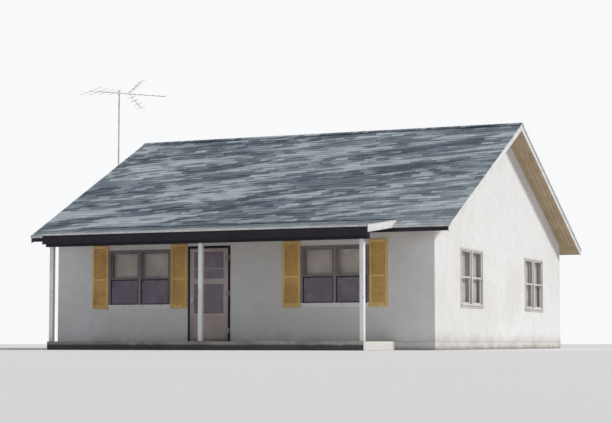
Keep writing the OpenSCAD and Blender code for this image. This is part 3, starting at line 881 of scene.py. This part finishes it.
def under_eaves():
    """Boards under the front and back overhangs."""
    low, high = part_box("eave_soffits")
    depth = (high.y - HALF_D) / math.cos(PITCH)
    front = boards(
        "front", high.x - low.x, depth, count=4, thick=LINING_T * math.cos(PITCH),
    )
    set_down(front, slope_place(-high.y, low.z, PITCH))
    back = moved_copy(front, Matrix.Rotation(math.pi, 4, "Z"))
    piece = joined("eave_soffit_boards", [front, back])
    return fitted(piece, "house", TAN, "tan_boards", "eave_soffits")


def under_rakes():
    """Boards under the gable overhangs, running up each slope."""
    low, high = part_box("rake_soffits")
    width = high.x - HALF_W
    length = HALF_D / math.cos(PITCH)
    lane = boards("rake", length, width, count=4, thick=LINING_T * math.cos(PITCH))
    set_down(lane, Matrix.Translation((length / 2, 0, 0)))
    upright = Matrix.Translation((HALF_W + width, 0, 0)) @ Matrix.Rotation(math.pi / 2, 4, "Z")
    other_gable = 2 * HALF_W + width
    lanes = []
    for turn, across in ((0, 0), (0, -other_gable), (math.pi, 0), (math.pi, other_gable)):
        place = slope_place(-HALF_D, low.z, PITCH, turn) @ upright
        lanes.append(moved_copy(lane, Matrix.Translation((across, 0, 0)) @ place, "lane"))
    scrap(lane)
    piece = joined("rake_soffit_boards", lanes)
    return fitted(piece, "house", TAN, "tan_boards", "rake_soffits")


def under_porch():
    """Boards under the porch roof."""
    low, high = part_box("porch_ceiling")
    depth = (high.y - low.y) / math.cos(PORCH_PITCH)
    piece = boards(
        "porch_ceiling_boards", high.x - low.x, depth, count=15, thick=PORCH_LINING_T,
    )
    set_down(piece, slope_place(low.y, low.z, PORCH_PITCH))
    return fitted(piece, "house", TAN, "tan_boards", "porch_ceiling")


# Walls and slabs

def wall_copy(node):
    """A wall with its outer corners rounded by the trowel."""
    piece = copy_of(node, node + "_rendered")
    rounding = 0.022

    def corner(a, b):
        upright = abs(a.x - b.x) < 1e-4 and abs(a.y - b.y) < 1e-4 and abs(a.z - b.z) > 1
        outer = abs(abs(a.x) - HALF_W) < 1e-3 and abs(abs(a.y) - HALF_D) < 1e-3
        return upright and outer

    pick(piece, corner, "EDGE")
    bpy.ops.mesh.bevel(offset=rounding, segments=4, affect="EDGES")
    closed()
    return fitted(smoothed(piece), "house", RENDER, "white_render", node)


# Shutters

def shutter(low, high):
    """A louvred shutter: two stiles, three rails and tilted slats between them."""
    stile = 0.05
    top = 0.07
    foot = 0.085
    mid = 0.06
    mid_share = 0.46
    rail_in = 0.001
    backing_t = 0.003
    front = low.y
    back = high.y
    left = low.x + stile
    right = high.x - stile
    middle_z = low.z + (high.z - low.z) * mid_share
    mid_low = middle_z - mid / 2
    mid_high = middle_z + mid / 2
    parts = [
        block("stile", (low.x, front, low.z), (left, back, high.z)),
        block("stile", (right, front, low.z), (high.x, back, high.z)),
    ]
    for bottom, upper in ((high.z - top, high.z), (low.z, low.z + foot), (mid_low, mid_high)):
        parts.append(block("rail", (left, front + rail_in, bottom), (right, back, upper)))
    parts = [eased(part, 0.003, 2) for part in parts]
    for bottom, upper in ((low.z + foot, mid_low), (mid_high, high.z - top)):
        parts.append(louvres(left, right, front, back, bottom, upper))
    backing = block(
        "backing", (left, back - backing_t, low.z + foot), (right, back, high.z - top),
    )
    parts.append(eased(backing, 0.001, 1))
    return joined("shutter", parts)


def louvres(left, right, front, back, bottom, upper):
    """Tilted slats that fill one panel of a shutter."""
    count = int((upper - bottom) / SLAT_STEP)
    step = (upper - bottom) / count
    depth = (back - front) - 0.010
    slat = block(
        "slat", (left - 0.004, -0.003, -depth * 0.5), (right + 0.004, 0.003, depth * 0.72),
    )
    eased(slat, 0.0022, 2)
    centre = Vector((0, (front + back) / 2 - 0.001, bottom + step / 2))
    tilt = Matrix.Translation(centre) @ Matrix.Rotation(math.radians(-38), 4, "X")
    set_down(slat, tilt)
    return in_a_row(slat, count, (0, 0, step))


def shutter_pair(node, name):
    """The two shutters beside one window."""
    low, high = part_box(node)
    pair = [
        shutter(low, Vector((low.x + SHUTTER_W, high.y, high.z))),
        shutter(Vector((high.x - SHUTTER_W, low.y, low.z)), high),
    ]
    return fitted(joined(name, pair), "house", OCHRE, "ochre_paint", node)


# Windows

def half_screens():
    """Fly screens over the lower sashes: a thin frame and the mesh in it."""
    bar = 0.022
    tuck = 0.018
    veil_t = 0.0008
    frames = []
    veils = []
    for a, b in loose_boxes("front_window_screens"):
        for left, right, bottom, top in (
            (a.x, a.x + bar, a.z, b.z), (b.x - bar, b.x, a.z, b.z),
            (a.x + bar, b.x - bar, a.z, a.z + bar), (a.x + bar, b.x - bar, b.z - bar, b.z),
        ):
            rail = block("rail", (left, a.y, bottom), (right, b.y, top))
            frames.append(eased(rail, 0.002, 1))
        middle = (a.y + b.y) / 2
        veils.append(block(
            "veil", (a.x + tuck, middle - veil_t / 2, a.z + tuck),
            (b.x - tuck, middle + veil_t / 2, b.z - tuck),
        ))
    rails = joined("screen_frames", frames)
    fitted(rails, "house", NAVY, "screen_mesh", "front_window_screens")
    fitted(joined("screen_veils", veils), "house", SCREEN, "screen_mesh")


def loose_boxes(node):
    """The boxes of a node's separate solids, left to right."""
    everything(copy_of(node, "loose"))
    bpy.ops.mesh.separate(type="LOOSE")
    closed()
    found = []
    for part in bpy.context.selected_objects:
        points = np.array([v.co for v in part.data.vertices])
        found.append((Vector(points.min(axis=0)), Vector(points.max(axis=0))))
    bpy.ops.object.delete()
    return sorted(found, key=lambda pair: (round(pair[0].x, 3), round(pair[0].z, 3)))


def blind():
    """A slatted blind on its own, seen from the front, centred on X."""
    half = BLIND_W / 2
    head_h = 0.03
    foot_h = 0.014
    crown = 0.0028
    slat = sheet("slat", BLIND_W, BLIND_SLAT, 1, 4)
    for vertex in slat.data.vertices:
        vertex.co.z = crown * (1 - (2 * vertex.co.y / BLIND_SLAT) ** 2)
    worked(slat, "SOLIDIFY", thickness=0.0006, offset=-1)
    tilt = Matrix.Rotation(math.radians(-66), 4, "X")
    set_down(slat, Matrix.Translation((0, 0, BLIND_BOTTOM + head_h)) @ tilt)
    count = int((BLIND_TOP - BLIND_BOTTOM - 2 * head_h) / BLIND_STEP)
    in_a_row(slat, count, (0, 0, BLIND_STEP))
    head = block("head", (-half, -0.014, BLIND_TOP - head_h), (half, 0.014, BLIND_TOP))
    foot = block("foot", (-half, -0.011, BLIND_BOTTOM), (half, 0.011, BLIND_BOTTOM + foot_h))
    rails = [eased(head, 0.002, 1), eased(foot, 0.002, 1)]
    ladders = []
    for place in (-0.36, 0, 0.36):
        left = place * BLIND_W
        for front in (-0.0135, 0.0125):
            ladders.append(block(
                "ladder", (left, front, BLIND_BOTTOM + 0.01),
                (left + 0.0015, front + 0.001, BLIND_TOP - 0.02),
            ))
    return joined("blind", [slat] + rails + ladders)


def all_blinds():
    """Blinds behind every window, one piece for each wall."""
    first = blind()
    centres = [window_centre(side + "_window_frame") for side in ("left", "right")]
    sides = (-SIDE_WINDOW_X, SIDE_WINDOW_X)
    for name, turn, face, places in (
        ("front_blinds", 0, HALF_D, centres),
        ("right_blinds", math.pi / 2, HALF_W, sides),
        ("back_blinds", math.pi, HALF_D, sides),
        ("left_blinds", -math.pi / 2, HALF_W, sides),
    ):
        wall = Matrix.Rotation(turn, 4, "Z")
        copies = [
            moved_copy(first, wall @ Matrix.Translation((x, BLIND_IN - face, 0)))
            for x in places
        ]
        fitted(joined(name, copies), "house", BLINDS, "pale_paint")
    scrap(first)


def window_centre(node):
    """The place of a window's middle along X."""
    low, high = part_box(node)
    return (low.x + high.x) / 2


# Putting the house together

def build_roof():
    """Shingles on every slope, caps along the ridge and metal along all the edges."""
    for name, turn, seed, porch in (
        ("front_shingles", 0, 11, True), ("back_shingles", math.pi, 17, False),
    ):
        fitted(dressed_slope(name, turn, seed, porch), "house", SHINGLES, "shingles")
    fitted(porch_slope(), "house", SHINGLES, "shingles")
    fitted(ridge_shingles(), "house", SHINGLES, "shingles", "ridge_cap")
    beside = RAKE_X - PORCH_X
    middle = PORCH_X + beside / 2
    drips = []
    for length, turn, x, y, z in (
        (beside - 0.01, 0, -middle, EAVE_Y, EAVE_Z), (beside - 0.01, 0, middle, EAVE_Y, EAVE_Z),
        (2 * RAKE_X, math.pi, 0, EAVE_Y, EAVE_Z), (2 * PORCH_X, 0, 0, PORCH_Y, PORCH_Z),
    ):
        place = Matrix.Rotation(turn, 4, "Z") @ Matrix.Translation((x, y, z))
        drips.append(edge_metal("drip", length, place))
    fitted(joined("drip_edges", drips), "house", DRIP_METAL, "pale_paint")
    rakes = []
    for turn in (0, math.pi):
        slope = slope_place(EAVE_Y, EAVE_Z, PITCH, turn)
        for side in (-1, 1):
            along = Matrix.Rotation(side * math.pi / 2, 4, "Z")
            place = slope @ Matrix.Translation((side * RAKE_X, SLOPE_LEN / 2, 0)) @ along
            rakes.append(edge_metal("rake_drip", SLOPE_LEN, place))
    fitted(joined("rake_drip_edges", rakes), "house", DRIP_METAL, "pale_paint")


def build_body():
    """Walls, slabs, decks, boards, the porch's beam and posts, and all the linings."""
    for node in (
        "front_wall_left", "front_wall_right", "front_wall_over_door",
        "left_gable_wall", "right_gable_wall", "back_wall",
    ):
        wall_copy(node)
    eased_copy("floor_slab", 0.012, FOOTING, "concrete")
    eased_copy("porch_slab", 0.012, CONCRETE, "concrete", segments=3)
    coated("ceiling", PLASTER)
    for node in ("front_roof", "back_roof", "porch_roof"):
        coated(node, DECK)
    for node, finish, slot in (
        ("front_fascia", NAVY, "navy_paint"), ("back_fascia", NAVY, "navy_paint"),
        ("left_rake_boards", PALE, "pale_paint"), ("right_rake_boards", PALE, "pale_paint"),
        ("porch_fascia", NAVY, "navy_paint"), ("porch_end_boards", PALE, "pale_paint"),
    ):
        eased_copy(node, 0.003, finish, slot)
    eased_copy("porch_beam", 0.004, NAVY, "navy_paint")
    for node in ("left_porch_post", "middle_porch_post", "right_porch_post"):
        eased_copy(node, 0.006, PALE_UPRIGHT_SUNLIT, "pale_paint")
    under_eaves()
    under_rakes()
    under_porch()


def build_openings():
    """The door in its frame, and the windows with all that hangs on them."""
    eased_copy("door_frame", 0.003, NAVY_UPRIGHT, "navy_paint")
    eased_copy("door_threshold", 0.004, CONCRETE, "concrete")
    eased_copy("storm_door", 0.003, ENAMEL, "grey_tan_metal", "door")
    coated("storm_door_glass", DOOR_GLASS)
    smoothed_copy("door_handle", BRIGHT, "bright_metal", "door")
    smoothed_copy("door_hinge_sleeves", HINGE_METAL, "bright_metal", "door")
    smoothed_copy("door_hinge_pins", HINGE_METAL, "bright_metal")
    for node in ("left_window_frame", "right_window_frame"):
        eased_copy(node, 0.003, WINDOW_PAINT, "pale_paint")
    for node in ("left_window_sashes", "right_window_sashes"):
        eased_copy(node, 0.002, SASH_PAINT, "grey_tan_metal")
    for node in ("left_gable_windows", "right_gable_windows", "back_windows"):
        eased_copy(node, 0.003, SIDE_PAINT, "pale_paint")
    coated("front_window_glass", GLASS)
    coated("side_window_glass", GLASS)
    hinge_screws()
    half_screens()
    shutter_pair("left_window_shutters", "left_shutters")
    shutter_pair("right_window_shutters", "right_shutters")
    all_blinds()


def turned_stock(name, radius, depth, sides, middle_x):
    """A round or six-sided piece with its axis along X."""
    bpy.ops.mesh.primitive_cylinder_add(
        vertices=sides, radius=radius, depth=depth, rotation=(0, math.pi / 2, 0),
    )
    stock = settle(named(bpy.context.object, name))
    return set_down(stock, Matrix.Translation((middle_x, 0, 0)))


def bolt(size, depth):
    """A bolt head with its washer, its axis along X, its seat at the origin."""
    head = turned_stock("head", size, depth, 6, -depth / 2 - size * 0.2)
    eased(head, size * 0.12, 1)
    washer = turned_stock("washer", size * 1.35, size * 0.25, 20, -size * 0.12)
    eased(washer, size * 0.05, 1)
    return joined("bolt", [washer, head])


def screw():
    """A small domed screw head, facing the front."""
    bpy.ops.mesh.primitive_uv_sphere_add(segments=10, ring_count=6, radius=0.0036)
    head = named(bpy.context.object, "screw")
    head.scale = (1, 0.45, 1)
    return settle(head)


def hinge_screws():
    """Screws in the hinge plates and in the handle's plate."""
    edge_in = 0.012
    spacing = 0.036
    hinge_seat = 0.0034
    handle_seat = 0.0044
    for node, body, name in (
        ("door_hinge_pins", "house", "frame_hinge_screws"),
        ("door_hinge_sleeves", "door", "door_hinge_screws"),
    ):
        places = []
        for low, high in loose_boxes(node):
            x = high.x - edge_in if body == "house" else low.x + edge_in
            middle = (low.z + high.z) / 2
            for rise in (-spacing, 0, spacing):
                places.append((x, high.y - hinge_seat, middle + rise))
        if body == "door":
            low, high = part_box("door_handle")
            x = (low.x + high.x) / 2
            for z in (low.z + edge_in, high.z - edge_in):
                places.append((x, high.y - handle_seat, z))
        first = screw()
        heads = [moved_copy(first, Matrix.Translation(place), "head") for place in places]
        scrap(first)
        fitted(joined(name, heads), body, HINGE_METAL, "bright_metal")


def bracket_bolts():
    """Bolt heads: two on the bracket's plate and four on the boom's clamp."""
    spread = 0.062
    plate_in = 0.006
    clamp_rise = 0.018
    clamp_out = 0.0185
    low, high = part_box("mast_bracket")
    middle = (low + high) / 2
    places = []
    for side in (-spread, spread):
        spot = Vector((high.x - plate_in, middle.y, middle.z))
        spot += Vector((0, math.cos(PITCH), math.sin(PITCH))) * side
        places.append(Matrix.Translation(spot))
    mast_low, mast_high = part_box("antenna_mast")
    mast = (mast_low + mast_high) / 2
    boom = Matrix.Translation((mast.x, mast.y, mast_high.z - BOOM_DROP))
    boom = boom @ Matrix.Rotation(BOOM_TURN, 4, "Z")
    for side in (-1, 1):
        cheek = boom @ Matrix.Rotation(side * math.pi / 2, 4, "Z")
        for rise in (-clamp_rise, clamp_rise):
            places.append(cheek @ Matrix.Translation((-clamp_out, 0, rise)))
    first = bolt(0.008, 0.006)
    heads = [moved_copy(first, place, "head") for place in places]
    scrap(first)
    fitted(joined("aerial_bolts", heads), "house", BRIGHT, "bright_metal")


def build_aerial():
    """The mast, its bracket and the aerial on it."""
    smoothed_copy("antenna_mast", BRIGHT, "bright_metal")
    smoothed_copy("mast_bracket", BRIGHT, "bright_metal")
    smoothed_copy("antenna", BRIGHT, "bright_metal")
    bracket_bolts()


build_body()
build_openings()
build_aerial()
build_roof()


# Light, ground and camera

# The viewer's place, the share of the width that the house fills, and the sky's tint
EYE = Vector((15.96, -37.30, 0.18))
FILL = 0.90
SKY_TINT = (0.88, 0.92, 1.0)


def set_camera():
    """A camera at the viewer's place, with a lens that takes in the whole house."""
    corners = [
        Vector((x, y, z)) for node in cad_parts
        for low, high in [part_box(node)]
        for x in (low.x, high.x) for y in (low.y, high.y) for z in (low.z, high.z)
    ]
    rays = [corner - EYE for corner in corners]
    yaws = [math.atan2(-ray.x, ray.y) for ray in rays]
    pitches = [math.atan2(ray.z, math.hypot(ray.x, ray.y)) for ray in rays]
    yaw = (max(yaws) + min(yaws)) / 2
    pitch = (max(pitches) + min(pitches)) / 2
    half = math.tan((max(yaws) - min(yaws)) / 2) / FILL
    camera = bpy.data.cameras.new("camera")
    camera.sensor_width = 36
    camera.lens = camera.sensor_width / 2 / half
    camera.clip_end = 500
    stand = bpy.data.objects.new("camera", camera)
    bpy.context.scene.collection.objects.link(stand)
    stand.location = EYE
    stand.rotation_euler = (math.pi / 2 + pitch, 0, yaw)
    bpy.context.scene.camera = stand


def set_light():
    """A soft key from the right, a weak fill from the front and a pale studio around them."""
    for name, strength, width, colour, turn, rise in (
        ("key_light", 0.80, 12, (1.0, 0.985, 0.96), 8, 38),
        ("front_fill", 0.15, 55, SKY_TINT, -84, 10),
    ):
        lamp = bpy.data.lights.new(name, "SUN")
        lamp.energy = strength * math.pi
        lamp.angle = math.radians(width)
        lamp.color = colour
        stand = bpy.data.objects.new(name, lamp)
        bpy.context.scene.collection.objects.link(stand)
        aim = Matrix.Rotation(math.radians(turn), 4, "Z")
        aim = aim @ Matrix.Rotation(math.radians(-rise), 4, "Y")
        stand.rotation_mode = "QUATERNION"
        stand.rotation_quaternion = (aim @ Vector((1, 0, 0))).to_track_quat("Z", "Y")
    world = bpy.data.worlds.new("studio")
    world.use_nodes = True
    bpy.context.scene.world = world
    tree = world.node_tree
    sky = tree.nodes["Background"]
    sky.inputs["Color"].default_value = (*SKY_TINT, 1)
    sky.inputs["Strength"].default_value = 0.27
    seen = tree.nodes.new("ShaderNodeBackground")
    seen.inputs["Color"].default_value = (0.94, 0.95, 0.96, 1)
    seen.inputs["Strength"].default_value = 1.0
    paths = tree.nodes.new("ShaderNodeLightPath")
    share = paths.outputs["Is Camera Ray"]
    for ray in ("Is Glossy Ray", "Is Transmission Ray"):
        either = tree.nodes.new("ShaderNodeMath")
        either.operation = "MAXIMUM"
        tree.links.new(share, either.inputs[0])
        tree.links.new(paths.outputs[ray], either.inputs[1])
        share = either.outputs[0]
    blend = tree.nodes.new("ShaderNodeMixShader")
    tree.links.new(share, blend.inputs[0])
    tree.links.new(sky.outputs[0], blend.inputs[1])
    tree.links.new(seen.outputs[0], blend.inputs[2])
    tree.links.new(blend.outputs[0], tree.nodes["World Output"].inputs["Surface"])


def lay_floor():
    """A plain pale floor, far wider than the house."""
    bpy.ops.mesh.primitive_circle_add(vertices=96, radius=70, fill_type="NGON")
    floor = settle(named(bpy.context.object, "studio_floor"))
    f = Finish("studio_floor", 0.95)
    f.set(Base_Color=f.mix(f.mottle(0.3, 2) * 0.3, shade("#ecebeb"), shade("#e6e5e5")))
    floor.data.materials.append(f.material)


set_camera()
set_light()
lay_floor()
bpy.context.scene.view_settings.view_transform = "Standard"
